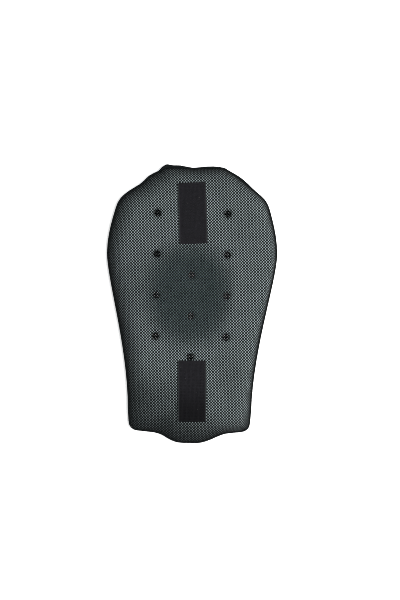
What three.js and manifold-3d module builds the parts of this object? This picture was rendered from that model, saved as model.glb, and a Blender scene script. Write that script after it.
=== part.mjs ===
// Back protector insert: a vented foam core in a sewn cover of two mesh panels, with two strips
// of hook tape on the front panel. It lies on its back with the front face up.
// Millimetres. +X runs across the pad, +Y towards its neck end and +Z out of the front face.
// The origin is under the middle of the pad, on the surface that it lies on.
import * as THREE from "three";
import { mergeVertices } from "three/addons/utils/BufferGeometryUtils.js";
import Module from "manifold-3d";

const wasm = await Module();
wasm.setup();

// Plan of the pad, right-hand half: named corners of the outline, from the neck end to the tab.
const TOP = { x: 49, y: 195.5 };
const SHOULDER = { x: 107, y: 147.8 };
const ARM = { x: 112.5, y: 127 };
const WIDEST = { x: 121.7, y: 72 };
const WAIST = { x: 88.2, y: -152 };
const LOWER_CORNER = { x: 86, y: -181 };
const LOWER_EDGE = { x: 58, y: -184 };
const TAB = { x: 10, y: -199 };
const CORNER_ROUND = 12; // how far the round of a corner reaches along its two sides
const SPINE_SHARE = 0.6; // how far the spine line reaches towards the outline's two ends

// Thicknesses, from the surface below the pad to the hooks.
const GAP = 0.3; // between one piece and the next
const COVER_WALL = 1.0;
const CORE_THICKNESS = 17;
const CORE_BOTTOM = COVER_WALL + GAP;
const CORE_TOP = CORE_BOTTOM + CORE_THICKNESS;
const COVER_TOP = CORE_TOP + GAP + COVER_WALL;
const SEAM_HEIGHT = 5.8; // where the two panels meet round the rim

// Edge of the foam core: from its flat underside to the rim, and then a rounded bevel up to its
// flat top, half a parabola in section.
const RIM_INSET = 2.4;
const RIM_HIGH = 6.6;
const CROWN = 0.2; // how far the middle of the top stands over the end of the bevel
const UNDER_EDGE = [
  { place: "underside", inset: 9, z: CORE_BOTTOM },
  { place: "lower round", inset: 3.8, z: 2.4 },
  { place: "rim low", inset: RIM_INSET, z: 4.6 },
];
const BEVEL_REACH = 30;
const BEVEL_SHARES = [0, 0.07, 0.18, 0.34, 0.53, 0.75, 1];
const BEVEL_EDGE = BEVEL_SHARES.map((share) => ({
  inset: RIM_INSET + share * BEVEL_REACH,
  z: RIM_HIGH + (CORE_TOP - CROWN - RIM_HIGH) * (1 - (1 - share) ** 2),
}));
const CORE_EDGE = [...UNDER_EDGE, ...BEVEL_EDGE];

// How far in the bevel reaches at places round the outline. In between, it changes gradually.
const REACHES = [
  { place: "neck", x: 0, y: 196, reach: 21 },
  { place: "left shoulder", x: -85, y: 168, reach: 38 },
  { place: "left side", x: -118, y: 40, reach: 31 },
  { place: "left waist", x: -96, y: -90, reach: 35 },
  { place: "lower left", x: -86, y: -178, reach: 64 },
  { place: "tab", x: 0, y: -199, reach: 31 },
  { place: "lower right", x: 86, y: -178, reach: 18 },
  { place: "right waist", x: 96, y: -90, reach: 10 },
  { place: "right side", x: 118, y: 40, reach: 8 },
  { place: "right shoulder", x: 85, y: 168, reach: 11 },
];

// Sections of the flat top between the bevel and the spine, as shares of the way in.
const TOP_SHARES = [0.2, 0.4, 0.6, 0.8, 1];

// Dips in the top of the foam, which the front panel spans. The panel itself billows a little.
const DIPS = [
  { place: "middle", x: -4, y: 15, halfWidth: 70, halfLength: 84, depth: 2.8 },
  { place: "lower left", x: -80, y: -190, halfWidth: 140, halfLength: 108, depth: 1.2 },
];
const BILLOWS = [
  { place: "left side", x: -82, y: 30, halfWidth: 26, halfLength: 70, lift: 0.5 },
  { place: "lower right", x: 58, y: -110, halfWidth: 24, halfLength: 50, lift: 0.4 },
];

// Vent holes through the core: a grid of pairs, with single holes half a row lower.
const VENT = { diameter: 10, sides: 16, pitch: 58.3 };
const VENT_PAIRS = { x: 50, y: 128.5, rows: 4 };
const VENT_SINGLES = { y: 41, rows: 3 };

// Dents in the outline, where the seam pulls the pad in.
const DENTS = [
  { place: "left shoulder", x: -76, y: 173, depth: 2.6, reach: 14 },
  { place: "left notch", x: -53, y: 191, depth: 3.6, reach: 9 },
  { place: "neck middle", x: 1, y: 195.5, depth: 1.3, reach: 8 },
  { place: "right notch", x: 54, y: 190, depth: 2, reach: 5 },
  { place: "lower left", x: -41, y: -190, depth: 1.8, reach: 13 },
];

// The seam allowance stands out from the rim. Its cut edge stands out further in places.
const EDGE_WANDER = [
  { place: "left peak", x: -37, y: 196, out: 3.8, reach: 8.5 },
  { place: "left of middle", x: -20, y: 195.5, out: 2, reach: 9 },
  { place: "right of middle", x: 27, y: 195.5, out: 1.3, reach: 13 },
  { place: "right shoulder", x: 72, y: 176, out: 1.3, reach: 13 },
];

// Hook tape: a woven base with a field of hooks between two bare selvedges.
const STRIP = { width: 40, length: 87, base: 0.7, selvedge: 2, height: 2 };
const STRIPS = [
  { name: "hook_strip_upper", x: 0, y: 128.8, turn: 2.6 },
  { name: "hook_strip_lower", x: 3.2, y: -124, turn: 1 },
];

const foam = new THREE.MeshStandardMaterial({ color: 0x9aa8a2, roughness: 0.9, metalness: 0 });
const meshFabric = new THREE.MeshStandardMaterial({ color: 0x141617, roughness: 0.8, metalness: 0 });
const hookTape = new THREE.MeshStandardMaterial({ color: 0x232226, roughness: 0.65, metalness: 0 });

const point = (p) => new THREE.Vector2(p.x, p.y);
const towards = (from, to, distance) =>
  point(to).sub(point(from)).setLength(distance).add(point(from));

// The right-hand half of the outline as curves, each with the number of steps it is drawn in.
function halfOutline() {
  const topEnd = towards(TOP, { x: 0, y: TOP.y }, CORNER_ROUND);
  const slopeStart = towards(TOP, SHOULDER, CORNER_ROUND);
  const slopeEnd = towards(SHOULDER, TOP, CORNER_ROUND);
  const shoulderEnd = towards(SHOULDER, ARM, CORNER_ROUND);
  const cornerStart = towards(LOWER_CORNER, WAIST, CORNER_ROUND);
  const cornerEnd = towards(LOWER_CORNER, LOWER_EDGE, CORNER_ROUND);
  const line = (a, b) => new THREE.LineCurve(point(a), point(b));
  const round = (a, corner, b) => new THREE.QuadraticBezierCurve(point(a), point(corner), point(b));
  const sweep = (a, leave, arrive, b) =>
    new THREE.CubicBezierCurve(point(a), point(leave), point(arrive), point(b));
  return [
    { curve: line({ x: 0, y: TOP.y }, topEnd), steps: 4 },
    { curve: round(topEnd, TOP, slopeStart), steps: 3 },
    { curve: line(slopeStart, slopeEnd), steps: 6 },
    { curve: round(slopeEnd, SHOULDER, shoulderEnd), steps: 3 },
    { curve: sweep(shoulderEnd, ARM, { x: WIDEST.x, y: 100 }, WIDEST), steps: 6 },
    { curve: sweep(WIDEST, { x: WIDEST.x, y: 34 }, { x: 89.6, y: -62 }, WAIST), steps: 15 },
    { curve: line(WAIST, cornerStart), steps: 1 },
    { curve: round(cornerStart, LOWER_CORNER, cornerEnd), steps: 4 },
    { curve: line(cornerEnd, LOWER_EDGE), steps: 1 },
    { curve: sweep(LOWER_EDGE, { x: 42, y: -185 }, { x: 28, y: TAB.y }, TAB), steps: 7 },
    { curve: line(TAB, { x: 0, y: TAB.y }), steps: 1 },
  ];
}

// A soft bump, one at its middle and nought at its edge. away is a share of its half size.
const bump = (away) => (away < 1 ? Math.cos((away * Math.PI) / 2) ** 2 : 0);
const awayFrom = (spot, x, y) => Math.hypot((x - spot.x) / spot.halfWidth, (y - spot.y) / spot.halfLength);

// Height added to the top of the foam and to the front panel.
const foamRelief = (x, y) =>
  DIPS.reduce((lift, dip) => lift - dip.depth * bump(awayFrom(dip, x, y) ** 2), 0);
const panelRelief = (x, y) =>
  BILLOWS.reduce((lift, spot) => lift + spot.lift * bump(awayFrom(spot, x, y)), 0);
function bevelReachAt(x, y) {
  const weights = REACHES.map((row) => 1 / ((x - row.x) ** 2 + (y - row.y) ** 2 + 1) ** 2);
  const total = weights.reduce((sum, weight) => sum + weight);
  return REACHES.reduce((sum, row, i) => sum + (row.reach * weights[i]) / total, 0);
}
const nearness = (spot, p) => Math.exp(-((Math.hypot(p.x - spot.x, p.y - spot.y) / spot.reach) ** 2));
const dentAt = (p) => DENTS.reduce((depth, spot) => depth + spot.depth * nearness(spot, p), 0);
const wanderAt = (p) => EDGE_WANDER.reduce((out, spot) => out + spot.out * nearness(spot, p), 0);

// The whole outline, clockwise from the neck end. Each point knows its way in to the spine line,
// how long that way is, how wide the bevel is there, and how far the seam allowance wanders out.
function fullOutline() {
  const right = halfOutline().flatMap(({ curve, steps }) => curve.getPoints(steps).slice(0, -1));
  const end = new THREE.Vector2(0, TAB.y);
  const left = right.slice(1).reverse().map((p) => new THREE.Vector2(-p.x, p.y));
  return [...right, end, ...left].map((p) => {
    const way = new THREE.Vector2(0, p.y * SPINE_SHARE).sub(p);
    const dent = dentAt(p);
    const reach = way.length() - dent;
    const inward = way.normalize();
    const bevel = bevelReachAt(p.x, p.y) / BEVEL_REACH;
    return { p: p.clone().addScaledVector(inward, dent), inward, reach, bevel, wander: wanderAt(p) };
  });
}
const outline = fullOutline();

// One section ring of the pad. inset is the distance in from the outline, offset a further distance
// that the bevel's reach leaves alone, and share the part of the remaining way to the spine. Rows
// above the seam take the relief of the front face by their height.
function ring({ inset, offset = 0, share = 0, z, cutEdge = false }, relief) {
  const rise = THREE.MathUtils.clamp((z - SEAM_HEIGHT) / (CORE_TOP - SEAM_HEIGHT), 0, 1);
  return outline.map(({ p, inward, reach, bevel, wander }) => {
    const pastRim = z > SEAM_HEIGHT ? Math.max(inset - RIM_INSET, 0) : 0;
    const edge = inset - pastRim + pastRim * bevel + offset;
    const way = edge + share * (reach - edge) - (cutEdge ? wander : 0);
    const x = p.x + inward.x * way;
    const y = p.y + inward.y * way;
    return new THREE.Vector3(x, y, z + rise * relief(x, y));
  });
}

// How far in a row lies, counting its share of the way to the spine.
const depthOf = ({ inset, share = 0 }) => inset + share * WIDEST.x;

// A closed skin through section rings. A ring on the spine meets itself, left half on right half.
// The diagonal of each facet runs the same way on skins that lie close to each other, whichever way
// their rows are listed.
function skinThrough(rows, relief) {
  const rings = rows.map((row) => ring(row, relief));
  const count = outline.length;
  const positions = rings.flatMap((points) => points.flatMap((v) => v.toArray()));
  const faces = [];
  for (let r = 0; r + 1 < rings.length; r += 1) {
    for (let i = 0; i < count; i += 1) {
      const next = (i + 1) % count;
      const [a, b] = [r * count + i, r * count + next];
      const [c, d] = [a + count, b + count];
      if (depthOf(rows[r + 1]) >= depthOf(rows[r])) faces.push([a, c, b], [b, c, d]);
      else faces.push([a, c, d], [a, d, b]);
    }
  }
  const geometry = new THREE.BufferGeometry();
  geometry.setAttribute("position", new THREE.Float32BufferAttribute(positions, 3));
  geometry.setIndex(faces.flat());
  const merged = mergeVertices(geometry, 1e-3);
  merged.setIndex(wholeFaces(merged.index.array));
  merged.computeVertexNormals();
  return merged;
}

// Triangles that still have three different corners after merging.
function wholeFaces(index) {
  const kept = [];
  for (let i = 0; i < index.length; i += 3) {
    const [a, b, c] = index.slice(i, i + 3);
    if (a !== b && b !== c && c !== a) kept.push(a, b, c);
  }
  return kept;
}

// The edge profile moved out by a distance. Its two ends move straight down and straight up.
function edgeOut(distance) {
  return CORE_EDGE.map((row, i) => {
    const before = CORE_EDGE[i - 1];
    const after = CORE_EDGE[i + 1];
    const normal = new THREE.Vector2();
    if (!before) normal.set(0, -1);
    else if (!after) normal.set(0, 1);
    else {
      for (const [a, b] of [[before, row], [row, after]]) {
        normal.add(new THREE.Vector2(a.z - b.z, b.inset - a.inset).normalize());
      }
      normal.normalize();
    }
    return { inset: row.inset, offset: normal.x * distance, z: row.z + normal.y * distance };
  });
}

// Rows over the flat top, from the bevel to the spine, with a slight crown.
function topRows(height) {
  return TOP_SHARES.map((share) => ({
    inset: RIM_INSET + BEVEL_REACH,
    share,
    z: height - CROWN * (1 - share) ** 2,
  }));
}
const underRow = (height) => ({ inset: CORE_EDGE[0].inset, share: 1, z: height });

// The two faces of the seam allowance, rows from the wall to the cut edge and back out.
function seamAllowance(wallInset, nearFace, farFace) {
  return [
    { inset: wallInset, z: nearFace },
    { inset: 0, z: nearFace, cutEdge: true },
    { inset: 0, z: farFace, cutEdge: true },
  ];
}

function frontPanel() {
  const inner = edgeOut(GAP).slice(UNDER_EDGE.length);
  const outer = edgeOut(GAP + COVER_WALL).slice(UNDER_EDGE.length);
  const seam = SEAM_HEIGHT + GAP / 2;
  const rows = [
    ...topRows(CORE_TOP + GAP).reverse(),
    ...inner.reverse(),
    ...seamAllowance(RIM_INSET - GAP, seam, seam + COVER_WALL),
    ...outer,
    ...topRows(COVER_TOP),
  ];
  return skinThrough(rows, panelRelief);
}

function backPanel() {
  const inner = edgeOut(GAP).slice(0, UNDER_EDGE.length);
  const outer = edgeOut(GAP + COVER_WALL).slice(0, UNDER_EDGE.length);
  const seam = SEAM_HEIGHT - GAP / 2;
  const rows = [
    underRow(0),
    ...outer,
    ...seamAllowance(RIM_INSET - GAP, seam, seam - COVER_WALL).reverse(),
    ...inner.reverse(),
    underRow(COVER_WALL),
  ];
  return skinThrough(rows, panelRelief);
}

// A closed geometry as a solid that can be cut, and back again.
function solidOf(geometry) {
  const bare = new THREE.BufferGeometry();
  bare.setAttribute("position", geometry.getAttribute("position"));
  bare.setIndex(geometry.index);
  const merged = mergeVertices(bare, 1e-3);
  return new wasm.Manifold(
    new wasm.Mesh({
      numProp: 3,
      vertProperties: merged.getAttribute("position").array,
      triVerts: new Uint32Array(merged.index.array),
    }),
  );
}

function geometryOf(solid) {
  const { vertProperties, triVerts } = solid.getMesh();
  const geometry = new THREE.BufferGeometry();
  geometry.setAttribute("position", new THREE.BufferAttribute(vertProperties, 3));
  geometry.setIndex(new THREE.BufferAttribute(triVerts, 1));
  geometry.computeVertexNormals();
  return geometry;
}

function ventPlaces() {
  const places = [];
  for (let row = 0; row < VENT_PAIRS.rows; row += 1) {
    const y = VENT_PAIRS.y - row * VENT.pitch;
    places.push({ x: -VENT_PAIRS.x, y }, { x: VENT_PAIRS.x, y });
  }
  for (let row = 0; row < VENT_SINGLES.rows; row += 1) {
    places.push({ x: 0, y: VENT_SINGLES.y - row * VENT.pitch });
  }
  return places;
}

function foamCore() {
  const rows = [underRow(CORE_BOTTOM), ...CORE_EDGE, ...topRows(CORE_TOP)];
  let core = solidOf(skinThrough(rows, foamRelief));
  for (const { x, y } of ventPlaces()) {
    const bore = new THREE.CylinderGeometry(VENT.diameter / 2, VENT.diameter / 2, 2 * CORE_TOP, VENT.sides);
    bore.rotateX(Math.PI / 2).translate(x, y, CORE_TOP / 2);
    bore.deleteAttribute("normal");
    bore.deleteAttribute("uv");
    core = core.subtract(solidOf(bore));
  }
  return geometryOf(core);
}

// Hook tape in section across its width, drawn out along its length and laid on its back.
function hookStrip() {
  const half = STRIP.width / 2;
  const field = half - STRIP.selvedge;
  const section = new THREE.Shape([
    new THREE.Vector2(-half, 0),
    new THREE.Vector2(half, 0),
    new THREE.Vector2(half, STRIP.base),
    new THREE.Vector2(field, STRIP.base),
    new THREE.Vector2(field, STRIP.height),
    new THREE.Vector2(-field, STRIP.height),
    new THREE.Vector2(-field, STRIP.base),
    new THREE.Vector2(-half, STRIP.base),
  ]);
  const geometry = new THREE.ExtrudeGeometry(section, { depth: STRIP.length, bevelEnabled: false });
  return geometry.translate(0, 0, -STRIP.length / 2).rotateX(Math.PI / 2);
}

function piece(name, geometry, material) {
  const mesh = new THREE.Mesh(geometry, material);
  mesh.name = name;
  return mesh;
}

const insert = new THREE.Group();
insert.add(piece("foam_core", foamCore(), foam));
insert.add(piece("cover_front", frontPanel(), meshFabric));
insert.add(piece("cover_back", backPanel(), meshFabric));
for (const { name, x, y, turn } of STRIPS) {
  const strip = piece(name, hookStrip(), hookTape);
  strip.position.set(x, y, COVER_TOP + GAP);
  strip.rotation.z = THREE.MathUtils.degToRad(turn);
  insert.add(strip);
}

export default insert;
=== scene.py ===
# %% [markdown]
# # A back protector insert, dressed for its picture
#
# The insert is a soft foam pad that slides into the back pocket of a riding jacket. Black mesh is
# sewn round the foam as a cover, and two strips of hook tape hold the pad in the pocket. The packed
# part gives every piece at its real size. This lesson replaces its plain solids with cloth, foam and
# tape that can be looked at closely. The first step loads the part and keeps its box.

# %% Load the packed part
import math

import bmesh
import bpy
import numpy as np
from mathutils import Matrix, Vector, kdtree, noise
from mathutils.bvhtree import BVHTree


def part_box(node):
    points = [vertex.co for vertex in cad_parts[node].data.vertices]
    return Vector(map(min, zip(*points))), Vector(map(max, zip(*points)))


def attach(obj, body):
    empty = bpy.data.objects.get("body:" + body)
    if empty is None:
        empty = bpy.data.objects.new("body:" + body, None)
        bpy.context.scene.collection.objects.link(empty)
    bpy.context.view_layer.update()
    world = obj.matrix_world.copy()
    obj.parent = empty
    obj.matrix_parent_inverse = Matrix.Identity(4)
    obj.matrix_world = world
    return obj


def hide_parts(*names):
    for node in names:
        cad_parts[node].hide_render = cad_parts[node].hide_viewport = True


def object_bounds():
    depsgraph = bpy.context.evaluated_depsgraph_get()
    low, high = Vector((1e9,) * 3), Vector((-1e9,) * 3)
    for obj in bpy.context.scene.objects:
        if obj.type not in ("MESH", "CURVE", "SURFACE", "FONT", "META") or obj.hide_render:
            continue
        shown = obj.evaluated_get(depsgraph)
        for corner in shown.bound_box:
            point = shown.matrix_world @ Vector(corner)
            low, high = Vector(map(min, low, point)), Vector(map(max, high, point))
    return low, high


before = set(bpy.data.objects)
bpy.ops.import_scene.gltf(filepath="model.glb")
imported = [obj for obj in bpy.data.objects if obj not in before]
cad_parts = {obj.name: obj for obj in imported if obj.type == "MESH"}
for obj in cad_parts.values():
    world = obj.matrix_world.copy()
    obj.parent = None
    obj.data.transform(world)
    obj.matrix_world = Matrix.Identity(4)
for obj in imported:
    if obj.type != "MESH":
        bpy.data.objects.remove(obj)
cad_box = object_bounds()
MM = 0.001  # Blender works in metres, and the insert is measured in millimetres
scene = bpy.context.scene
print("pieces in the frame:", sorted(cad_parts))

# %% [markdown]
# The camera hangs straight over the pad, because the photograph looks square on to it. A long lens
# from two metres keeps the outline free of perspective. The pad leans a little in the photograph,
# so the camera is rolled by the same angle, and it is set over the point that the middle of the
# picture shows.

# %% Camera
PICTURE_HEIGHT_PX = 600
MM_PER_PX = 400 / 280  # the 40 mm tape is 28 pixels wide
PICTURE_MIDDLE = (12.4 * MM, 5.6 * MM)
ROLL = math.radians(0.95)
LENS_MM = 85
SENSOR_MM = 36
SEAM_HEIGHT = 6.45 * MM

camera = bpy.data.objects.new("camera", bpy.data.cameras.new("camera"))
camera.data.lens = LENS_MM
camera.data.sensor_width = SENSOR_MM
camera_distance = PICTURE_HEIGHT_PX * MM_PER_PX * MM * LENS_MM / SENSOR_MM
camera.location = (*PICTURE_MIDDLE, SEAM_HEIGHT + camera_distance)
camera.rotation_euler = (0, 0, ROLL)
scene.collection.objects.link(camera)
scene.camera = camera
print(f"camera {camera_distance:.3f} m over the seam")

# %% [markdown]
# The floor is a plain pale board, much larger than the picture. One large soft lamp stands on the
# right, because the left edge of the pad is the darker one in the photograph. A wide lamp overhead
# and a pale sky fill the shadows.

# %% Floor and lights
FLOOR_SIZE = 6.0
FLOOR_DROP = 0.05 * MM  # the cloth's lowest yarns stay just clear of the board
LAMPS = {  # size in metres, power in watts, place, colour
    "key_lamp": (1.6, 78, (1.17, -0.08, 1.87), (1.0, 0.995, 0.98)),
    "overhead_lamp": (2.4, 9, (0.0, 0.0, 2.6), (0.97, 0.99, 1.0)),
}
PAD_MIDDLE = (0.0, 0.0, 0.0)
SKY_TONE = (0.96, 0.98, 1.0, 1.0)
SKY_STRENGTH = 0.26
PIXEL_BLUR = 0.85  # crisp pixels, because the knit is only three pixels wide


def linked(name, mesh):
    """A new object at the origin that shows this mesh."""
    obj = bpy.data.objects.new(name, mesh)
    scene.collection.objects.link(obj)
    return obj


def mesh_from(bm, name):
    """A finished bmesh as a mesh, and the bmesh is let go."""
    mesh = bpy.data.meshes.new(name)
    bm.to_mesh(mesh)
    bm.free()
    return mesh


def soft_lamp(name, size, power, place, colour):
    """A square lamp that faces the middle of the pad."""
    lamp = bpy.data.lights.new(name, "AREA")
    lamp.size = size
    lamp.energy = power
    lamp.color = colour
    obj = bpy.data.objects.new(name, lamp)
    obj.location = place
    obj.rotation_euler = (Vector(PAD_MIDDLE) - Vector(place)).to_track_quat("-Z", "Y").to_euler()
    scene.collection.objects.link(obj)


floor_bm = bmesh.new()
bmesh.ops.create_grid(floor_bm, x_segments=1, y_segments=1, size=FLOOR_SIZE / 2)
bmesh.ops.translate(floor_bm, verts=floor_bm.verts, vec=(0, 0, -FLOOR_DROP))
floor = linked("floor", mesh_from(floor_bm, "floor"))

for name, settings in LAMPS.items():
    soft_lamp(name, *settings)
scene.world = bpy.data.worlds.new("pale_sky")
scene.world.use_nodes = True
sky = scene.world.node_tree.nodes["Background"]
sky.inputs["Color"].default_value = SKY_TONE
sky.inputs["Strength"].default_value = SKY_STRENGTH
scene.view_settings.view_transform = "Standard"
scene.cycles.filter_width = PIXEL_BLUR

# %% [markdown]
# Cloth is cut and sewn along lines, so the lesson needs the pad's own lines first. They could be
# typed in again as numbers, but then they could drift from the part. Here a level plane cuts the
# part's solids, and the cut gives each outline as a loop of points. Blender hands the cut edges over
# in no fixed order, so each loop is turned to one direction and one first point, and every run of the
# lesson gives the same pad. The loops of the foam also show where its vent holes are and how wide.

# %% Cut level sections through the frame
SOLID_WELD = 0.002 * MM
WALL_HEIGHT = 7.6 * MM  # just over the seam allowance
CORE_MIDDLE = 6.0 * MM


def merged_copy(node):
    """A bmesh copy of one of the part's solids, with its loose triangles joined."""
    bm = bmesh.new()
    bm.from_mesh(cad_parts[node].data)
    bmesh.ops.remove_doubles(bm, verts=bm.verts, dist=SOLID_WELD)
    return bm


def loop_length(points):
    return float(np.linalg.norm(points - np.roll(points, 1, axis=0), axis=1).sum())


def from_the_right(points):
    """The loop anticlockwise from its point furthest right."""
    x, y = points.T
    if np.sum(x * np.roll(y, -1) - np.roll(x, -1) * y) < 0:
        points = points[::-1]
    first = np.lexsort((points[:, 1], points[:, 0]))[-1]
    return np.roll(points, -first, axis=0)


def section_loops(node, height):
    """The closed loops where a level plane cuts a solid, longest first, in plan."""
    bm = merged_copy(node)
    cut = bmesh.ops.bisect_plane(
        bm, geom=bm.verts[:] + bm.edges[:] + bm.faces[:], plane_co=(0, 0, height), plane_no=(0, 0, 1)
    )
    left = {e for e in cut["geom_cut"] if isinstance(e, bmesh.types.BMEdge)}
    loops = []
    while left:
        start, vert = left.pop().verts
        points = [start.co.xy]
        while vert is not start:
            points.append(vert.co.xy)
            edge = next(e for e in vert.link_edges if e in left)
            left.remove(edge)
            vert = edge.other_vert(vert)
        loops.append(from_the_right(np.array(points)))
    bm.free()
    return sorted(loops, key=lambda loop: (loop_length(loop), *loop[0]), reverse=True)


edge_loop = section_loops("cover_front", SEAM_HEIGHT)[0]
wall_loop = section_loops("cover_front", WALL_HEIGHT)[0]
vent_loops = section_loops("foam_core", CORE_MIDDLE)[1:]  # the first loop is the rim
vents = [(loop.mean(axis=0), loop_length(loop) / (2 * math.pi)) for loop in vent_loops]
print(f"seam line {loop_length(edge_loop):.3f} m round, {len(vents)} vents")

# %% [markdown]
# The loops have a point every nine millimetres or so. Sewn edges are smooth, so each loop is drawn
# as a curve through its points and sampled again in even steps. Every sample also knows which way is
# inwards, and a search tree finds the nearest sample to any point of the pad.

# %% Smooth lines with an inward direction
FINE_STEP = 1.0 * MM
CURVE_PARTS = 12  # places on the curve between two points of a loop


class SewnLine:
    """A smooth closed line in plan, with inward directions and a quick nearest-point search."""

    def __init__(self, points, step):
        before, after, later = (np.roll(points, shift, axis=0) for shift in (1, -1, -2))
        parts = []
        for t in np.linspace(0, 1, CURVE_PARTS, endpoint=False):
            parts.append(
                0.5
                * (
                    2 * points
                    + (after - before) * t
                    + (2 * before - 5 * points + 4 * after - later) * t**2
                    + (3 * points - before - 3 * after + later) * t**3
                )
            )
        curve = np.stack(parts, axis=1).reshape(-1, 2)
        closed = np.vstack([curve, curve[:1]])
        along = np.concatenate([[0], np.cumsum(np.linalg.norm(np.diff(closed, axis=0), axis=1))])
        self.length = along[-1]
        self.count = int(round(self.length / step))
        even = np.linspace(0, self.length, self.count, endpoint=False)
        self.points = np.stack([np.interp(even, along, closed[:, axis]) for axis in (0, 1)], axis=1)
        way = np.roll(self.points, -2, axis=0) - np.roll(self.points, 2, axis=0)
        way /= np.linalg.norm(way, axis=1, keepdims=True)
        self.along = way
        self.inward = np.stack([-way[:, 1], way[:, 0]], axis=1)
        self.tree = kdtree.KDTree(self.count)
        for index, (px, py) in enumerate(self.points):
            self.tree.insert((px, py, 0), index)
        self.tree.balance()

    def inset(self, plan):
        """For points in plan: the nearest sample of each and its distance inside the line."""
        nearest = np.array([self.tree.find((px, py, 0))[1] for px, py in plan])
        return nearest, np.sum((plan - self.points[nearest]) * self.inward[nearest], axis=1)


cut_edge = SewnLine(edge_loop, FINE_STEP)
wall = SewnLine(wall_loop, FINE_STEP)
print(f"cut edge {cut_edge.length:.3f} m, wall {wall.length:.3f} m")

# %% [markdown]
# The foam is taken as one moulded sheet with soft edges, so it is made as a padded piece: the core is
# remeshed into small even faces, smoothed, and grown to the thickness that it has under the cloth.
# The vents are punched afterwards with clean round cutters, because punched foam keeps sharp rims.
# Bevelling the solid's own edges would leave flat facets on the rounded rim.

# %% Foam pad
FOAM_VOXEL = 1.9 * MM
FOAM_SMOOTHING = 10
FOAM_GROWTH = 0.66 * MM  # the foam fills the room that the solids keep free under the cloth
VENT_SIDES = 40


def baked(obj):
    """The object's mesh with its modifiers applied. The object itself is removed."""
    bpy.context.view_layer.update()
    mesh = bpy.data.meshes.new_from_object(obj.evaluated_get(bpy.context.evaluated_depsgraph_get()))
    bpy.data.objects.remove(obj)
    return mesh


def vent_cutters(depth):
    """Upright cylinders at every vent, as one mesh."""
    bm = bmesh.new()
    for (x, y), radius in vents:
        bmesh.ops.create_cone(
            bm,
            cap_ends=True,
            segments=VENT_SIDES,
            radius1=radius,
            radius2=radius,
            depth=2 * depth,
            matrix=Matrix.Translation((x, y, depth / 2)),
        )
    return mesh_from(bm, "vent_cutters")


blank = linked("foam_blank", mesh_from(merged_copy("foam_core"), "foam_blank"))
remesh = blank.modifiers.new("even faces", "REMESH")
remesh.mode = "VOXEL"
remesh.voxel_size = FOAM_VOXEL
soften = blank.modifiers.new("soft edges", "SMOOTH")
soften.factor = 0.5
soften.iterations = FOAM_SMOOTHING
grow = blank.modifiers.new("grow", "DISPLACE")
grow.mid_level = 0
grow.strength = FOAM_GROWTH
cutters = linked("vent_cutters", vent_cutters(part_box("foam_core")[1].z))
punch = blank.modifiers.new("vents", "BOOLEAN")
punch.operation = "DIFFERENCE"
punch.solver = "EXACT"
punch.object = cutters
foam_pad = linked("foam_pad", baked(blank))
bpy.data.objects.remove(cutters)
foam_pad.data.name = "foam_pad"
print("foam pad faces:", len(foam_pad.data.polygons))


def dress(obj, slot, *nodes):
    """The piece goes with the pad and stands for these solids. Its slot is not used."""
    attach(obj, "root")
    if nodes:
        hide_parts(*nodes)


dress(foam_pad, "foam", "foam_core")

# %% [markdown]
# The cover is a warp-knitted mesh: strands run both ways on the slant and meet in fat knots, with a
# six-sided hole between them. It could be faked with a see-through material, but the holes throw
# real shadows on the foam, and those shadows make the look of this pad. So one knitted repeat of two
# cells is modelled. Each cell is a diamond with a hole, bridged on both faces and thickest along the
# diamond's sides, so that neighbouring cells close into rounded strands. The vents look dark from
# the front, so little light comes in from behind. The back isn't seen, and it is taken as a closer
# knit with small holes.

# %% One repeat of the knitted mesh
CELL_WIDTH = 3.97 * MM
CELL_LENGTH = 4.14 * MM
OPEN_HOLE = (0.87 * MM, 1.16 * MM)  # half width and half length
CLOSE_HOLE = (0.37 * MM, 0.44 * MM)
YARN_THICKNESS = 0.55 * MM
KNIT_WELD = 0.01 * MM


def outlined(bm, sides, half_width, half_length, place):
    """A ring of edges with a corner at its top, of this half size."""
    ring = bmesh.ops.create_circle(bm, segments=sides, radius=1)["verts"]
    reach = max(v.co.x for v in ring)
    size = Matrix.Diagonal((half_width / reach, half_length, 1, 1))
    bmesh.ops.transform(bm, matrix=Matrix.Translation(place) @ size, verts=ring)
    return ring, list(dict.fromkeys(e for v in ring for e in v.link_edges))


def knitted_repeat(name, hole_half):
    """Two cells of the knit, with a hole of this half size in each."""
    bm = bmesh.new()
    for face in (1, -1):
        for place in ((0, 0, 0), (CELL_WIDTH / 2, CELL_LENGTH / 2, 0)):
            strands, strand_edges = outlined(bm, 4, CELL_WIDTH / 2, CELL_LENGTH / 2, place)
            hole_edges = outlined(bm, 6, *hole_half, place)[1]
            band = bmesh.ops.bridge_loops(bm, edges=strand_edges + hole_edges)["faces"]
            bmesh.ops.translate(bm, verts=strands, vec=(0, 0, face * YARN_THICKNESS / 2))
            turned = [f for f in band if f.normal.z * face < 0]
            bmesh.ops.reverse_faces(bm, faces=turned)
    bmesh.ops.triangulate(bm, faces=bm.faces)
    bmesh.ops.remove_doubles(bm, verts=bm.verts, dist=KNIT_WELD)
    return mesh_from(bm, name)


open_knit = knitted_repeat("open_knit", OPEN_HOLE)
close_knit = knitted_repeat("close_knit", CLOSE_HOLE)
print("faces in one knitted repeat:", len(open_knit.polygons))

# %% [markdown]
# Two array modifiers lay the repeat out as a flat length of cloth, large enough for a panel. The
# array joins each repeat to the next, so the length is one knit without loose ends.

# %% A flat length of knitted cloth
CLOTH_MARGIN = 20 * MM
cloth_size = np.array(cad_box[1].xy) - np.array(cad_box[0].xy) + CLOTH_MARGIN


def vertex_array(mesh):
    """The mesh's vertices as rows of x, y and z."""
    points = np.empty(len(mesh.vertices) * 3)
    mesh.vertices.foreach_get("co", points)
    return points.reshape(-1, 3)


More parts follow.
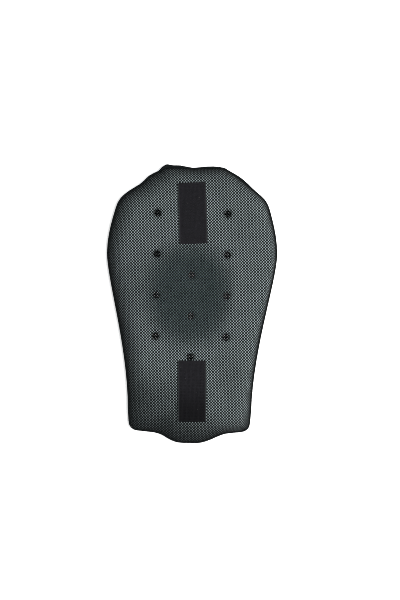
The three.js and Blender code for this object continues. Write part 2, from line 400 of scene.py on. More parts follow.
def cloth_length(repeat_mesh):
    """Flat cloth that covers the pad, with its middle at the origin, and where its first cell is."""
    bolt = linked("bolt_of_cloth", repeat_mesh)
    for axis, step in enumerate((CELL_WIDTH, CELL_LENGTH)):
        rows = bolt.modifiers.new("repeat", "ARRAY")
        rows.count = int(cloth_size[axis] / step)
        rows.use_relative_offset = False
        rows.use_constant_offset = True
        rows.constant_offset_displace = [step if i == axis else 0 for i in range(3)]
        rows.use_merge_vertices = True
        rows.merge_threshold = 2 * KNIT_WELD
    mesh = baked(bolt)
    points = vertex_array(mesh)
    middle = (points.min(axis=0) + points.max(axis=0)) / 2
    mesh.transform(Matrix.Translation(-Vector(middle)))
    return mesh, -middle[:2]


cloths = {1: cloth_length(open_knit), -1: cloth_length(close_knit)}
for mesh, _ in cloths.values():
    print(f"{len(mesh.polygons)} faces of flat cloth")

# %% [markdown]
# Cloth laid over a rounded edge uses up length, and the part's edge is rounder on the left than on
# the right. So the edge is read as profiles at many places: rays fall on a smooth copy of the
# panel at each step inwards, and the steps are summed along the slope. The table that comes out says
# where a point of the flat cloth lies on the pad, without stretching the knit.

# %% Read the pad's edge as profiles
BEVEL_WIDTH = 45 * MM
PROFILE_STEP = 4  # every fourth sample of the wall gets a profile
PROFILE_POINTS = 150
TABLE_POINTS = 240
TABLE_MARGIN = 2 * MM
EASE = 24  # samples over which the way inwards is evened out at corners


def guide_surface(node):
    """A smooth copy of a panel that rays can be cast on."""
    guide = linked("guide", mesh_from(merged_copy(node), "guide"))
    rounding = guide.modifiers.new("rounding", "SUBSURF")
    rounding.levels = rounding.render_levels = 2
    bpy.context.view_layer.update()
    tree = BVHTree.FromObject(guide, bpy.context.evaluated_depsgraph_get())
    bpy.data.objects.remove(guide)
    return tree


def surface_heights(tree, plan, side):
    """Heights of the guide under points in plan, seen from above (side 1) or below (side -1)."""
    heights = []
    for x, y in plan:
        hit = tree.ray_cast(Vector((x, y, side)), Vector((0, 0, -side)))[0]
        if hit is None:  # just past the cut edge
            hit = tree.find_nearest(Vector((x, y, SEAM_HEIGHT)))[0]
        heights.append(hit.z)
    return np.array(heights)


class Drape:
    """How flat cloth lies over one side of the pad."""

    def __init__(self, node, side):
        self.guide = guide_surface(node)
        starts, ways = wall.points[::PROFILE_STEP], wall.inward[::PROFILE_STEP]
        insets = np.linspace(0, BEVEL_WIDTH, PROFILE_POINTS)
        plan = starts[:, None] + insets[:, None] * ways[:, None]
        heights = surface_heights(self.guide, plan.reshape(-1, 2), side).reshape(len(starts), -1)
        steps = np.hypot(np.diff(heights, axis=1), insets[1])
        lengths = np.cumsum(steps[:, ::-1], axis=1)[:, ::-1]
        self.starts = BEVEL_WIDTH - lengths[:, 0]
        flat = np.column_stack([BEVEL_WIDTH - lengths, np.full(len(starts), BEVEL_WIDTH)])
        self.grid = np.linspace(flat.min() - TABLE_MARGIN, BEVEL_WIDTH, TABLE_POINTS)
        found = [np.interp(self.grid, row, insets) for row in flat]
        beyond = [np.minimum(self.grid - row[0], 0) for row in flat]
        self.table = np.stack(found) + np.stack(beyond)

    def laid(self, nearest, inset):
        """The inset on the pad of cloth that lies flat at this inset."""
        row = nearest // PROFILE_STEP
        grid_step = self.grid[1] - self.grid[0]
        place = np.clip((inset - self.grid[0]) / grid_step, 0, len(self.grid) - 1.001)
        low = place.astype(int)
        share = place - low
        found = self.table[row, low] * (1 - share) + self.table[row, low + 1] * share
        return np.where(inset < BEVEL_WIDTH, found, inset)


window = np.hanning(2 * EASE + 1)
padded = np.concatenate([wall.inward[-EASE:], wall.inward, wall.inward[:EASE]])
eased_inward = np.stack([np.convolve(column, window, "valid") for column in padded.T], axis=1)
eased_inward /= np.linalg.norm(eased_inward, axis=1, keepdims=True)
drapes = {side: Drape(node, side) for side, node in ((1, "cover_front"), (-1, "cover_back"))}
for side, drape in drapes.items():
    turns = -drape.starts / MM
    name = "front" if side > 0 else "back"
    print(f"{name} panel turns {turns.min():.1f} to {turns.max():.1f} mm round the edge")

# %% [markdown]
# Now both panels can be cut and laid. A cell of the knit stays if its middle lies inside the seam
# line, because cutting by whole cells keeps the knit intact, and the ragged ends are tucked down to
# where the hem will cover them. Each vertex first moves in plan, so that the knit keeps its size
# round the edge, and then takes its height from the guide. A slight waviness lifts the front panel
# here and there, because real mesh never lies perfectly flat.

# %% Front and back panels of the cover
SEAM_MIDDLE = 5.8 * MM
SEAM_BITE = 0.5 * MM  # how far the mesh runs past the wall into the seam
SEAM_TUCK = 0.45 * MM  # how far over or under the seam's middle it ends there
WAVE_HEIGHT = 0.13 * MM
WAVE_LENGTH = 30 * MM
DRIFT = 0.35 * MM  # how far the knit's rows wander sideways
DRIFT_LENGTH = 55 * MM
WAVE_SEED = 1.3
DRIFT_SEEDS = (3.1, 7.7)


def cells_inside(side):
    """For each flat face, whether its cell's middle lies inside the seam line."""
    mesh, first_cell = cloths[side]
    corners = np.empty(len(mesh.polygons) * 3, dtype=int)
    mesh.polygons.foreach_get("vertices", corners)
    middles = vertex_array(mesh)[corners].reshape(-1, 3, 3).mean(axis=1)[:, :2] - first_cell
    across = middles[:, 0] / CELL_WIDTH
    along = middles[:, 1] / CELL_LENGTH
    u, v = np.round(across + along), np.round(across - along)
    centres = np.stack([CELL_WIDTH * (u + v) / 2, CELL_LENGTH * (u - v) / 2], axis=1)
    cells, member = np.unique(np.round(centres / MM, 3), axis=0, return_inverse=True)
    laid = drapes[side].laid(*wall.inset(cells * MM + first_cell))
    return (laid > -SEAM_BITE)[member.ravel()]


def wavy(plan, length, seed):
    """Smooth noise from -1 to 1 over the plan."""
    return np.array([noise.noise((x / length, y / length, seed)) for x, y in plan])


def cut_panel(name, side):
    """The flat cells of one panel."""
    bm = bmesh.new()
    bm.from_mesh(cloths[side][0])
    waste = [f for f, inside in zip(bm.faces, cells_inside(side)) if not inside]
    bmesh.ops.delete(bm, geom=waste, context="FACES")
    for face in bm.faces:
        face.smooth = True
    return mesh_from(bm, name)


def lay_panel(name, side):
    """A panel cut from the flat cloth and laid over the pad's front or back."""
    mesh = cut_panel(name, side)
    plan, yarn = np.split(vertex_array(mesh), [2], axis=1)
    for axis, seed in enumerate(DRIFT_SEEDS):
        plan[:, axis] += DRIFT * wavy(plan, DRIFT_LENGTH, seed + side)
    nearest, inset = wall.inset(plan)
    laid = np.maximum(drapes[side].laid(nearest, inset), -SEAM_BITE)
    plan += (laid - inset)[:, None] * eased_inward[nearest]
    heights = surface_heights(drapes[side].guide, plan, side) - side * YARN_THICKNESS / 2
    if side > 0:
        free = np.clip(laid / BEVEL_WIDTH, 0, 1)
        heights += WAVE_HEIGHT * free * (0.5 + 0.5 * wavy(plan, WAVE_LENGTH, WAVE_SEED))
    heights = np.where(laid < 0, SEAM_MIDDLE + side * SEAM_TUCK, heights)
    mesh.vertices.foreach_set("co", np.column_stack([plan, heights + yarn[:, 0]]).ravel())
    mesh.update()
    return linked(name, mesh)


mesh_front = lay_panel("mesh_front", 1)
mesh_back = lay_panel("mesh_back", -1)
dress(mesh_front, "mesh_fabric", "cover_front")
dress(mesh_back, "mesh_fabric", "cover_back")
for panel in (mesh_front, mesh_back):
    print(panel.name, "triangles:", len(panel.data.polygons))

# %% [markdown]
# The raw edges of the two panels are taken as folded into a narrow hem that stands out round the pad.
# The photograph shows its outline as uneven, most of all at the neck end. A curve with a bevel would
# give it one width all round. So a ring of edges starts on the cut edge and is drawn out step by
# step, over the hem to the foam inside the wall and back underneath, and the last ring is bridged to
# the first.

# %% Hem round the rim
HEM_STEP = 3  # the hem takes every third sample of the cut edge
HEM_SECTION = (  # share of the way to the wall, millimetres further in, millimetres over the seam
    (0, 0.0, 0.0),
    (0, 0.1, 0.5),
    (0, 0.4, 0.85),
    (0.6, 0.0, 1.0),
    (1, 1.1, 1.0),
    (1, 1.1, -1.0),
    (0.6, 0.0, -1.0),
    (0, 0.4, -0.85),
    (0, 0.1, -0.5),
)


def swept(name, rings):
    """A closed band: a ring of edges is drawn out through these rings and bridged to the first."""
    bm = bmesh.new()
    verts = bmesh.ops.create_circle(bm, segments=len(rings[0]), radius=1)["verts"]
    edges = first_edges = bm.edges[:]
    for number, ring in enumerate(rings):
        if number:
            drawn = bmesh.ops.extrude_edge_only(bm, edges=edges)["geom"]
            new = {v for v in drawn if isinstance(v, bmesh.types.BMVert)}
            edges = [e for e in drawn if isinstance(e, bmesh.types.BMEdge) and set(e.verts) <= new]
            verts = [next(n for e in v.link_edges if (n := e.other_vert(v)) in new) for v in verts]
        for vert, place in zip(verts, ring):
            vert.co = place
    bmesh.ops.bridge_loops(bm, edges=first_edges + edges)
    bmesh.ops.recalc_face_normals(bm, faces=bm.faces)
    for face in bm.faces:
        face.smooth = True
    return linked(name, mesh_from(bm, name))


edge_points = cut_edge.points[::HEM_STEP]
to_wall = wall.points[wall.inset(edge_points)[0]] - edge_points
hem_width = np.linalg.norm(to_wall, axis=1)
hem_inward = to_wall / hem_width[:, None]
hem_rings = []
for share, distance, height in HEM_SECTION:
    plan = edge_points + (share * hem_width + distance * MM)[:, None] * hem_inward
    level = np.full(len(plan), SEAM_MIDDLE + height * MM)
    hem_rings.append(np.column_stack([plan, level]).tolist())
hem = swept("folded_hem", hem_rings)
dress(hem, "mesh_fabric")
print(f"hem {hem_width.min() / MM:.1f} to {hem_width.max() / MM:.1f} mm wide")

# %% [markdown]
# The photograph doesn't show how the hem is closed. An overlocked edge is usual on such covers: thread
# runs round it in slanting loops. One loop is a small ring, made by spinning a five-sided section, and
# it is then repeated along the edge. It is as large as the hem's own section, so that the thread is
# half sunk in the cloth, as if pulled tight. All the loops are joined into one mesh from arrays,
# because hundreds of objects would be slow to handle.

# %% Overlocked edge
THREAD = 0.15 * MM
LOOP_PITCH = 2.4 * MM
LOOP_REACH = 0.75 * MM
LOOP_RISE = 1.0 * MM
LOOP_SLANT = 0.45  # how far a loop leans along the edge, as a share of its reach
LOOP_STEPS = 8


def thread_loop():
    """A ring of thread that stands upright across the edge, with its middle at the origin."""
    bm = bmesh.new()
    section = bmesh.ops.create_circle(bm, segments=5, radius=THREAD)["verts"]
    bmesh.ops.translate(bm, verts=section, vec=(LOOP_REACH, 0, 0))
    bmesh.ops.spin(
        bm,
        geom=bm.verts[:] + bm.edges[:],
        axis=(0, 1, 0),
        angle=2 * math.pi,
        steps=LOOP_STEPS,
        use_merge=True,
    )
    bmesh.ops.remove_doubles(bm, verts=bm.verts, dist=KNIT_WELD)
    bmesh.ops.scale(bm, verts=bm.verts, vec=(1, 1, LOOP_RISE / LOOP_REACH))
    for vert in bm.verts:
        vert.co.y += LOOP_SLANT * vert.co.x
    bmesh.ops.recalc_face_normals(bm, faces=bm.faces)
    return mesh_from(bm, "thread_loop")


def joined(name, pattern, places, axes):
    """Copies of a small mesh as one object. Each copy has a place and three axis directions."""
    shape = vertex_array(pattern)
    points = places[:, None, :] + np.einsum("vi,kij->kvj", shape, axes)
    faces = [list(p.vertices) for p in pattern.polygons]
    mesh = bpy.data.meshes.new(name)
    copies = [[v + k * len(shape) for v in face] for k in range(len(places)) for face in faces]
    mesh.from_pydata(points.reshape(-1, 3).tolist(), [], copies)
    mesh.polygons.foreach_set("use_smooth", np.ones(len(copies), dtype=bool))
    return linked(name, mesh)


def plan_axes(x_axis, y_axis):
    """Axis directions for copies that lie in plan, from unit vectors across and along."""
    axes = np.zeros((len(x_axis), 3, 3))
    axes[:, 0, :2] = x_axis
    axes[:, 1, :2] = y_axis
    axes[:, 2, 2] = 1
    return axes


loop_count = int(cut_edge.length / LOOP_PITCH)
picks = np.round(np.arange(loop_count) * cut_edge.count / loop_count).astype(int)
loop_plan = cut_edge.points[picks] + LOOP_REACH * cut_edge.inward[picks]
loop_places = np.column_stack([loop_plan, np.full(loop_count, SEAM_MIDDLE)])
loop_axes = plan_axes(-cut_edge.inward[picks], cut_edge.along[picks])
overlock = joined("overlock_thread", thread_loop(), loop_places, loop_axes)
dress(overlock, "mesh_fabric")
print(loop_count, "loops of thread round the edge")

# %% [markdown]
# The hook tape is a stiff woven ribbon with a field of hooks between two bare selvedges. Its place
# and turn are read from the part's own solids: the long axis of the points in plan is the tape's
# length. The ribbon is a grid that gets its thickness from solidify and a rounded rim from a bevel. A
# value on its vertices marks the selvedges, for the finish to read later.

# %% Ribbons of the hook tape
TAPE_NODES = ("hook_strip_upper", "hook_strip_lower")
TAPE_BASE = 0.75 * MM
TAPE_CLEARANCE = 0.16 * MM  # between the ribbon and the mesh under it
TAPE_GRID = 2.0 * MM
TAPE_ROUNDING = 0.25 * MM
SHARP_ANGLE = 1.0  # radians between two faces of the ribbon's rim, at the least
SELVEDGE = 2.0 * MM


class TapePlace:
    """Where one strip of tape lies: its middle, its directions and its size."""

    def __init__(self, node):
        points = vertex_array(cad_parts[node].data)
        middle = points[:, :2].mean(axis=0)
        _, directions = np.linalg.eigh(np.cov((points[:, :2] - middle).T))
        self.along = directions[:, 1] * np.sign(directions[1, 1])
        self.across = np.array([self.along[1], -self.along[0]])
        local = (points[:, :2] - middle) @ np.stack([self.across, self.along], axis=1)
        low, high = local.min(axis=0), local.max(axis=0)
        self.middle = middle + (low + high) / 2 @ np.stack([self.across, self.along])
        self.width, self.length = high - low

    def plan(self, local):
        """Places in plan of points given across and along the tape."""
        return self.middle + local @ np.stack([self.across, self.along])

    def bottom(self, plan):
        """Heights of the ribbon's underside, which follows the front panel."""
        return surface_heights(drapes[1].guide, plan, 1) + TAPE_CLEARANCE


def ribbon(name, place):
    """A flat band with rounded rims, laid on the front panel."""
    bm = bmesh.new()
    bmesh.ops.create_grid(
        bm,
        x_segments=round(place.width / TAPE_GRID),
        y_segments=round(place.length / TAPE_GRID),
        size=0.5,
    )
    bmesh.ops.scale(bm, verts=bm.verts, vec=(place.width, place.length, 1))
    bmesh.ops.solidify(bm, geom=bm.faces[:], thickness=TAPE_BASE)
    low = min(v.co.z for v in bm.verts)
    bmesh.ops.translate(bm, verts=bm.verts, vec=(0, 0, -low))
    bmesh.ops.recalc_face_normals(bm, faces=bm.faces)
    rim = [e for e in bm.edges if len(e.link_faces) == 2 and e.calc_face_angle() > SHARP_ANGLE]
    bmesh.ops.bevel(
        bm, geom=rim, offset=TAPE_ROUNDING, segments=2, profile=0.5, affect="EDGES", material=-1
    )
    bare = bm.verts.layers.float.new("selvedge")
    for vert in bm.verts:
        vert[bare] = max(0, 1 - (place.width / 2 - abs(vert.co.x)) / SELVEDGE)
    plan = place.plan(np.array([v.co.xy for v in bm.verts]))
    for vert, (x, y), bottom in zip(bm.verts, plan, place.bottom(plan)):
        vert.co = (x, y, bottom + vert.co.z)
    return linked(name, mesh_from(bm, name))


tapes = {node: TapePlace(node) for node in TAPE_NODES}
ribbons = {node: ribbon(node.replace("strip", "tape"), place) for node, place in tapes.items()}
for node, piece in ribbons.items():
    dress(piece, "hook_tape", node)
    print(piece.name, f"{tapes[node].width / MM:.1f} x {tapes[node].length / MM:.1f} mm")

# %% [markdown]
# The hooks are small crooks of stiff nylon that are fixed in the ribbon. They stand in rows, and
# every other row faces the other way so that the tape holds in both directions. One hook is a small
# square section: it is drawn up as a stem and spun over into the crook. A seeded jitter turns and
# leans each hook a little, since they never stand quite alike.

# %% Field of hooks
HOOK_HALF = 0.13 * MM
STEM = 0.62 * MM
CROOK = 0.34 * MM
HOOK_PITCH = (1.9 * MM, 2.1 * MM)
CROOK_ANGLE = math.radians(165)
HOOK_WELD = 0.001 * MM
HOOK_SINK = 0.05 * MM  # the foot stands a little way inside the ribbon
HOOK_JITTER = 0.25 * MM
HOOK_TURN = 0.5  # radians
HOOK_LEAN = 0.22
HOOK_SEED = 11
chance = np.random.default_rng(HOOK_SEED)


def one_hook():
    """A stem with a crook at its top, standing on the origin."""
    bm = bmesh.new()
    bmesh.ops.create_circle(bm, cap_ends=True, segments=4, radius=HOOK_HALF)
    drawn = bmesh.ops.extrude_edge_only(bm, edges=bm.edges[:])["geom"]
    top = [v for v in drawn if isinstance(v, bmesh.types.BMVert)]
    bmesh.ops.translate(bm, verts=top, vec=(0, 0, STEM))
    rim = [e for e in bm.edges if all(v in top for v in e.verts)]
    crook = bmesh.ops.spin(
        bm, geom=top + rim, cent=(0, CROOK, STEM), axis=(-1, 0, 0), angle=CROOK_ANGLE, steps=4
    )
    tip = [e for e in crook["geom_last"] if isinstance(e, bmesh.types.BMEdge)]
    bmesh.ops.contextual_create(bm, geom=tip)
    bmesh.ops.remove_doubles(bm, verts=bm.verts, dist=HOOK_WELD)
    bmesh.ops.recalc_face_normals(bm, faces=bm.faces)
    return mesh_from(bm, "one_hook")


def hook_field(name, place):
    """Rows of hooks between the selvedges of one ribbon."""
    columns = int((place.width - 2 * SELVEDGE) / HOOK_PITCH[0])
    rows = int((place.length - 2 * SELVEDGE) / HOOK_PITCH[1])
    row, column = np.divmod(np.arange(rows * columns), columns)
    local = np.stack([column - (columns - 1) / 2, row - (rows - 1) / 2], axis=1) * HOOK_PITCH
    local += chance.uniform(-HOOK_JITTER, HOOK_JITTER, local.shape)
    plan = place.plan(local)
    heights = place.bottom(plan) + TAPE_BASE - HOOK_SINK
    turn = np.arctan2(place.along[1], place.along[0]) - math.pi / 2 + math.pi * (row % 2)
    turn = turn + chance.uniform(-HOOK_TURN, HOOK_TURN, len(turn))
    across = np.stack([np.cos(turn), np.sin(turn)], axis=1)
    along = np.stack([-np.sin(turn), np.cos(turn)], axis=1)
    axes = plan_axes(across, along)
    axes[:, 2, :2] = chance.uniform(-HOOK_LEAN, HOOK_LEAN, plan.shape)
    return joined(name, hook_mesh, np.column_stack([plan, heights]), axes)


hook_mesh = one_hook()
hook_fields = {}
for node, place in tapes.items():
    hook_fields[node] = hook_field(node.replace("hook_strip", "hooks"), place)
    dress(hook_fields[node], "hook_tape")
    print(hook_fields[node].name, len(hook_fields[node].data.polygons), "faces")

# %% [markdown]
# A row of lock stitches usually holds such a ribbon to the cloth, just inside its rim. A stitch is a
# small stretched ball that sinks into the cloth at both ends, which is how the thread looks from
# above.

# %% Stitches on the tape
STITCH_PITCH = 2.6 * MM
STITCH_INSET = 1.0 * MM
STITCH_HALF = (0.16 * MM, 0.95 * MM, 0.14 * MM)


def one_stitch():
    """A small ball, stretched along the tape."""
    bm = bmesh.new()
    bmesh.ops.create_uvsphere(bm, u_segments=6, v_segments=4, radius=1)
    bmesh.ops.rotate(bm, verts=bm.verts, matrix=Matrix.Rotation(math.pi / 2, 3, "X"))
    bmesh.ops.scale(bm, verts=bm.verts, vec=STITCH_HALF)
    return mesh_from(bm, "one_stitch")


def stitch_line(name, place):
    """Stitches round the rim of one ribbon, each lying along its side."""
    half = np.array([place.width, place.length]) / 2 - STITCH_INSET
    local, sideways = [], []
    for axis in (0, 1):
        count = int(2 * half[axis] / STITCH_PITCH)
        steps = (np.arange(count) + 0.5) / count * 2 - 1
        for side in (-1, 1):
            row = np.full((count, 2), side * half[1 - axis])
            row[:, axis] = steps * half[axis]
            local.append(row)
            sideways += [axis == 0] * count
    plan = place.plan(np.concatenate(local))
    heights = place.bottom(plan) + TAPE_BASE
    lying = np.array(sideways)[:, None]
    across = np.where(lying, place.along, place.across)
    along = np.where(lying, -place.across, place.along)
    return joined(name, one_stitch(), np.column_stack([plan, heights]), plan_axes(across, along))


stitches = {}
for node, place in tapes.items():
    stitches[node] = stitch_line(node.replace("hook_strip", "stitches"), place)
    dress(stitches[node], "hook_tape")
    print(stitches[node].name, len(stitches[node].data.polygons), "faces")

# %% [markdown]
# The finishes come last. They are all small node trees, so one helper adds a node, sets its values
# and links its sockets. Effects that several finishes share are node groups: a slow mottle, a plain
# weave, the specks of lint that dark cloth always picks up, an oval that marks the hollow in the
# middle of the front face, and a fade along the pad from one distance to another.

# %% Helpers and shared effects
LINT_SCALE = 170.0
LINT_SIZES = (0.11, 0.04)  # from a speck's rim to its middle
PATCH_SCALE = 45.0
PATCH_LEVELS = (0.5, 0.62)  # lint gathers where the patches are lighter than this
MOTTLE_LEVELS = (0.3, 0.7)
HOLLOW_MIDDLE = (-1 * MM, 14 * MM, 18 * MM)
HOLLOW_HALF = (71 * MM, 88 * MM, 15 * MM)  # too low to reach the back panel
HOLLOW_RIM = (1.0, 0.45)  # shares of the oval where its darkening begins and is full


def add(tree, kind, inputs=None, **settings):
    """A new node in a tree, with its settings made and its sockets set or linked."""
    made = tree.nodes.new("ShaderNode" + kind)
    for key, value in settings.items():
        setattr(made, key, value)
    for key, value in (inputs or {}).items():
        if isinstance(value, bpy.types.NodeSocket):
            tree.links.new(value, made.inputs[key])
        else:
            made.inputs[key].default_value = value
    return made


def between(levels):
    """A pair of levels as the two limits of a Map Range node."""
    return {"From Min": levels[0], "From Max": levels[1]}


def effect(name, inputs, outputs):
    """An empty node group with float sockets, apart from an input called Vector."""
    tree = bpy.data.node_groups.new(name, "ShaderNodeTree")
    for socket in inputs:
        kind = "NodeSocketVector" if socket == "Vector" else "NodeSocketFloat"
        tree.interface.new_socket(socket, in_out="INPUT", socket_type=kind)
    for socket in outputs:
        tree.interface.new_socket(socket, in_out="OUTPUT", socket_type="NodeSocketFloat")
    return tree, tree.nodes.new("NodeGroupInput").outputs, tree.nodes.new("NodeGroupOutput").inputs


mottle, given, put_out = effect("mottle", ("Vector", "Scale"), ("Shade",))
clouds = add(mottle, "TexNoise", {"Vector": given["Vector"], "Scale": given["Scale"], "Detail": 4.0})
spread = add(mottle, "MapRange", {"Value": clouds.outputs["Fac"], **between(MOTTLE_LEVELS)})
mottle.links.new(spread.outputs["Result"], put_out["Shade"])

weave, given, put_out = effect("weave", ("Vector", "Scale"), ("Height",))
bands = [
    add(weave, "TexWave", {"Vector": given["Vector"], "Scale": given["Scale"]}, bands_direction=axis)
    for axis in ("X", "Y")
]
crossing = add(
    weave, "Math", {0: bands[0].outputs["Fac"], 1: bands[1].outputs["Fac"]}, operation="MULTIPLY"
)
weave.links.new(crossing.outputs["Value"], put_out["Height"])

lint, given, put_out = effect("lint", ("Vector",), ("Mask",))
specks = add(lint, "TexVoronoi", {"Vector": given["Vector"], "Scale": LINT_SCALE})
near = add(lint, "MapRange", {"Value": specks.outputs["Distance"], **between(LINT_SIZES)})
patches = add(lint, "TexNoise", {"Vector": given["Vector"], "Scale": PATCH_SCALE, "Detail": 2.0})
where = add(lint, "MapRange", {"Value": patches.outputs["Fac"], **between(PATCH_LEVELS)})
mask = add(
    lint, "Math", {0: near.outputs["Result"], 1: where.outputs["Result"]}, operation="MULTIPLY"
)
lint.links.new(mask.outputs["Value"], put_out["Mask"])

# The hollow's oval carries painted shade on the foam and painted light on the yarn.
hollow, given, put_out = effect("hollow", ("Vector",), ("Mask",))
oval = add(
    hollow,
    "Mapping",
    {"Vector": given["Vector"], "Location": HOLLOW_MIDDLE, "Scale": HOLLOW_HALF},
    vector_type="TEXTURE",
)
away = add(hollow, "VectorMath", {0: oval.outputs["Vector"]}, operation="LENGTH")
inside = add(
    hollow,
    "MapRange",
    {"Value": away.outputs["Value"], **between(HOLLOW_RIM)},
    interpolation_type="SMOOTHSTEP",
)
hollow.links.new(inside.outputs["Result"], put_out["Mask"])

# The fade carries painted shade along the pad.
fade, given, put_out = effect("fade", ("Vector", "From", "To"), ("Mask",))
along = add(fade, "SeparateXYZ", {"Vector": given["Vector"]}).outputs["Y"]
limits = between((given["From"], given["To"]))
ramp = add(fade, "MapRange", {"Value": along, **limits}, interpolation_type="SMOOTHSTEP")
fade.links.new(ramp.outputs["Result"], put_out["Mask"])
print("shared effects:", [group.name for group in bpy.data.node_groups])

# %% [markdown]
# Each finish starts from the same few nodes. A finish has a dark and a light tone that a mottle
# blends, a roughness, and a relief that goes into a bump node. The patterns read the object's own
# coordinates, in metres, so their scales are counts to the metre.

# %% A finish with two tones and a relief


class Finish:
    """A material with its shader and object coordinates ready."""

    def __init__(self, name, roughness, shine=0.5):
        self.material = bpy.data.materials.new(name)
        self.material.use_nodes = True
        self.tree = self.material.node_tree
        self.shader = self.tree.nodes["Principled BSDF"]
        self.shader.inputs["Roughness"].default_value = roughness
        self.shader.inputs["Specular IOR Level"].default_value = shine
        self.coords = add(self.tree, "TexCoord").outputs["Object"]

    def shared(self, group, output, **inputs):
        """An output of a shared effect, placed in this finish with its own values."""
        values = {"Vector": self.coords, **inputs}
        return add(self.tree, "Group", values, node_tree=group).outputs[output]

    def faded(self, tone, other, limits):
        """A tone that turns into another between two distances along the pad."""
        return self.mix(self.shared(fade, "Mask", From=limits[0], To=limits[1]), tone, other)

    def mix(self, factor, first, second):
        """One colour turning into another, either a tone or a socket."""
        tones = {0: factor}
        for key, tone in ((6, first), (7, second)):
            tones[key] = tone if isinstance(tone, bpy.types.NodeSocket) else (*tone, 1)
        return add(self.tree, "Mix", tones, data_type="RGBA").outputs[2]

    def colour(self, socket):
        self.tree.links.new(socket, self.shader.inputs["Base Color"])

    def relief(self, height, depth, strength=1.0):
        bump = add(self.tree, "Bump", {"Height": height, "Distance": depth, "Strength": strength})
        self.tree.links.new(bump.outputs["Normal"], self.shader.inputs["Normal"])

    def on(self, *objects):
        for obj in objects:
            obj.data.materials.clear()
            obj.data.materials.append(self.material)


print("steps of a finish:", [step for step in vars(Finish) if not step.startswith("_")])

# %% [markdown]
# The foam is a pale grey-green, with pores of about half a millimetre that make its surface matt.
# Moulded foam has a slightly cloudy tone from its skin. The photograph shows a darker patch with a
# soft edge in the middle. It is taken as a hollow that the mould pressed into the foam, and the
# hollow's oval paints shade on the foam there. The photograph is also darker at the rim and towards
# the two ends. The cause of that shade can't be seen, so painted shade follows the height and the
# way along the pad. The board below is pale and glows a little, as a light table does, because the
# photograph shows no shadow beside the pad.

# %% Foam and floor
RIM_SHADE_HEIGHTS = (8.5 * MM, 17.6 * MM)  # painted shade is full below and gone above
RIM_SHADE_TONE = (0.036, 0.041, 0.044)
NECK_SHADE_TONE = (0.17, 0.2, 0.206)
LOWER_SHADE_TONE = (0.125, 0.142, 0.146)
NECK_SHADE_FADE = (138 * MM, 199 * MM)
LOWER_SHADE_FADE = (-142 * MM, -195 * MM)
OPEN_FOAM = ((0.224, 0.268, 0.274), (0.276, 0.325, 0.331))
HOLLOW_SHADE_FOAM = ((0.16, 0.222, 0.229), (0.196, 0.267, 0.276))
PORE_SCALE = 1500.0
PORE_DEPTH = 0.12 * MM
BOARD = ((0.79, 0.79, 0.79), (0.81, 0.81, 0.81))
WHITE = (1, 1, 1, 1)
BOARD_GLOW = 0.5
foam = Finish("soft_foam", roughness=0.9, shine=0.2)
cloudy = foam.shared(mottle, "Shade", Scale=55.0)
open_foam = foam.mix(cloudy, *OPEN_FOAM)
hollow_shade_tone = foam.mix(cloudy, *HOLLOW_SHADE_FOAM)
# painted shade: the foam is darker inside the hollow's oval
tone = foam.mix(foam.shared(hollow, "Mask"), open_foam, hollow_shade_tone)
# painted shade towards the neck end and the lower end of the pad
tone = foam.faded(tone, NECK_SHADE_TONE, NECK_SHADE_FADE)
tone = foam.faded(tone, LOWER_SHADE_TONE, LOWER_SHADE_FADE)
# painted shade: the foam is darker the lower it lies, at the rim and in the vents
height = add(foam.tree, "SeparateXYZ", {"Vector": foam.coords}).outputs["Z"]
up = add(foam.tree, "MapRange", {"Value": height, **between(RIM_SHADE_HEIGHTS)})
foam.colour(foam.mix(up.outputs["Result"], RIM_SHADE_TONE, tone))
pores = add(foam.tree, "TexVoronoi", {"Vector": foam.coords, "Scale": PORE_SCALE})
foam.relief(pores.outputs["Distance"], PORE_DEPTH, strength=0.6)
foam.on(foam_pad)

board = Finish("pale_board", roughness=0.7)
cloudy = board.shared(mottle, "Shade", Scale=9.0)
board.colour(board.mix(cloudy, *BOARD))
board.shader.inputs["Emission Color"].default_value = WHITE
board.shader.inputs["Emission Strength"].default_value = BOARD_GLOW
board.on(floor)
print("foam and floor finished")

# %% [markdown]
# The mesh, the hem and the thread are dyed black. Such yarn is often polyester, with a soft shine and
# fine fibres, and lint shows on it as pale specks. Over the hollow the photograph has less contrast,
# so painted light makes the mesh a little paler there. The hem is taken as a plain weave, so it shares
# its effect with the ribbon of the hook tape.

# %% Black cloth and thread
BLACK = ((0.0032, 0.0045, 0.0047), (0.0058, 0.0077, 0.008))
# painted light: the yarn is paler over the hollow
PAINTED_LIGHT_YARN = (0.0075, 0.01, 0.0105)
LINT_TONE = (0.09, 0.09, 0.088)
YARN_SHINE = 0.06
FIBRE_SCALE = 5200.0
FIBRE_DEPTH = 0.05 * MM
HEM_WEAVE = 330.0
HEM_DEPTH = 0.08 * MM
TWIST_SCALE = 900.0
TWIST_DEPTH = 0.04 * MM


def black_cloth(name, roughness, mottle_scale):
    """Black yarn with a mottle, lint, and painted light that makes it paler over the hollow."""
    finish = Finish(name, roughness, YARN_SHINE)
    cloudy = finish.shared(mottle, "Shade", Scale=mottle_scale)
    specked = finish.shared(lint, "Mask")
    painted_light_tone = finish.mix(finish.shared(hollow, "Mask"), finish.mix(cloudy, *BLACK), PAINTED_LIGHT_YARN)
    finish.colour(finish.mix(specked, painted_light_tone, LINT_TONE))
    return finish


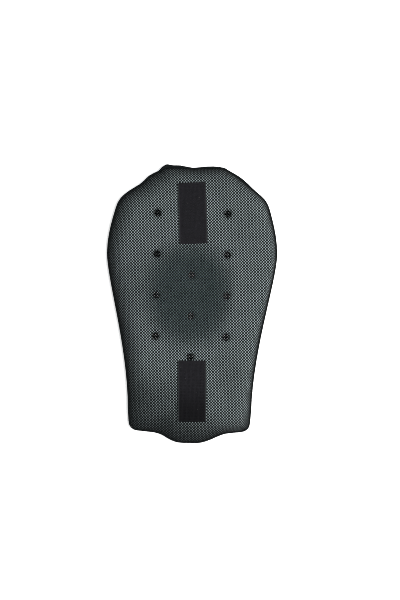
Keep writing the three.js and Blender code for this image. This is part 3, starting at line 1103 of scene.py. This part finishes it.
yarn = black_cloth("mesh_yarn", roughness=0.6, mottle_scale=400.0)
fibres = add(yarn.tree, "TexNoise", {"Vector": yarn.coords, "Scale": FIBRE_SCALE, "Detail": 3.0})
yarn.relief(fibres.outputs["Fac"], FIBRE_DEPTH, strength=0.6)
yarn.on(mesh_front, mesh_back)
hem_cloth = black_cloth("hem_cloth", roughness=0.75, mottle_scale=300.0)
hem_cloth.relief(hem_cloth.shared(weave, "Height", Scale=HEM_WEAVE), HEM_DEPTH)
hem_cloth.on(hem)
thread = black_cloth("sewing_thread", roughness=0.5, mottle_scale=900.0)
twists = {"Vector": thread.coords, "Scale": TWIST_SCALE}
twist = add(thread.tree, "TexWave", twists, bands_direction="DIAGONAL")
thread.relief(twist.outputs["Fac"], TWIST_DEPTH)
thread.on(overlock, *stitches.values())
print("black cloth finished")

# %% [markdown]
# Such ribbon is often woven nylon. It is less green than the mesh in the photograph. The hooks are
# glossier, because each is one smooth filament. The selvedges are paler in the photograph, perhaps
# because no hooks shade them. The lower strip gets darker towards its lower end there, from shade
# whose cause can't be seen, so a fade along the pad paints that shade on both finishes.

# %% Hook tape
NYLON = ((0.0048, 0.0046, 0.0062), (0.0082, 0.0079, 0.0103))
# painted shade at the lower end of the pad, on the ribbon and the hooks
SHADED_NYLON = (0.0006, 0.0005, 0.0014)
SELVEDGE_TONE = (0.017, 0.0188, 0.02)
SELVEDGE_SHARES = (0.05, 0.35)
STRIP_SHADE_FADE = (-110 * MM, -158 * MM)
TAPE_WEAVE = 260.0
TAPE_DEPTH = 0.1 * MM


def nylon_finish(name, roughness, shine, mottle_scale):
    """A nylon finish and its tone, with painted shade at the lower end of the pad."""
    finish = Finish(name, roughness, shine)
    tone = finish.mix(finish.shared(mottle, "Shade", Scale=mottle_scale), *NYLON)
    return finish, finish.faded(tone, SHADED_NYLON, STRIP_SHADE_FADE)


nylon, tone = nylon_finish("woven_nylon", roughness=0.65, shine=0.1, mottle_scale=260.0)
marked = add(nylon.tree, "Attribute", attribute_name="selvedge").outputs["Fac"]
bare = add(nylon.tree, "MapRange", {"Value": marked, **between(SELVEDGE_SHARES)})
tone = nylon.mix(bare.outputs["Result"], tone, SELVEDGE_TONE)
nylon.colour(nylon.mix(nylon.shared(lint, "Mask"), tone, LINT_TONE))
nylon.relief(nylon.shared(weave, "Height", Scale=TAPE_WEAVE), TAPE_DEPTH)
nylon.on(*ribbons.values())
filament, tone = nylon_finish("hook_filament", roughness=0.45, shine=0.12, mottle_scale=500.0)
filament.colour(tone)
filament.on(*hook_fields.values())
print("hook tape finished")

# %% [markdown]
# The panels were cut as the outline with its turn round the edge. Part of that area is holes, more on
# the open front than on the close back.
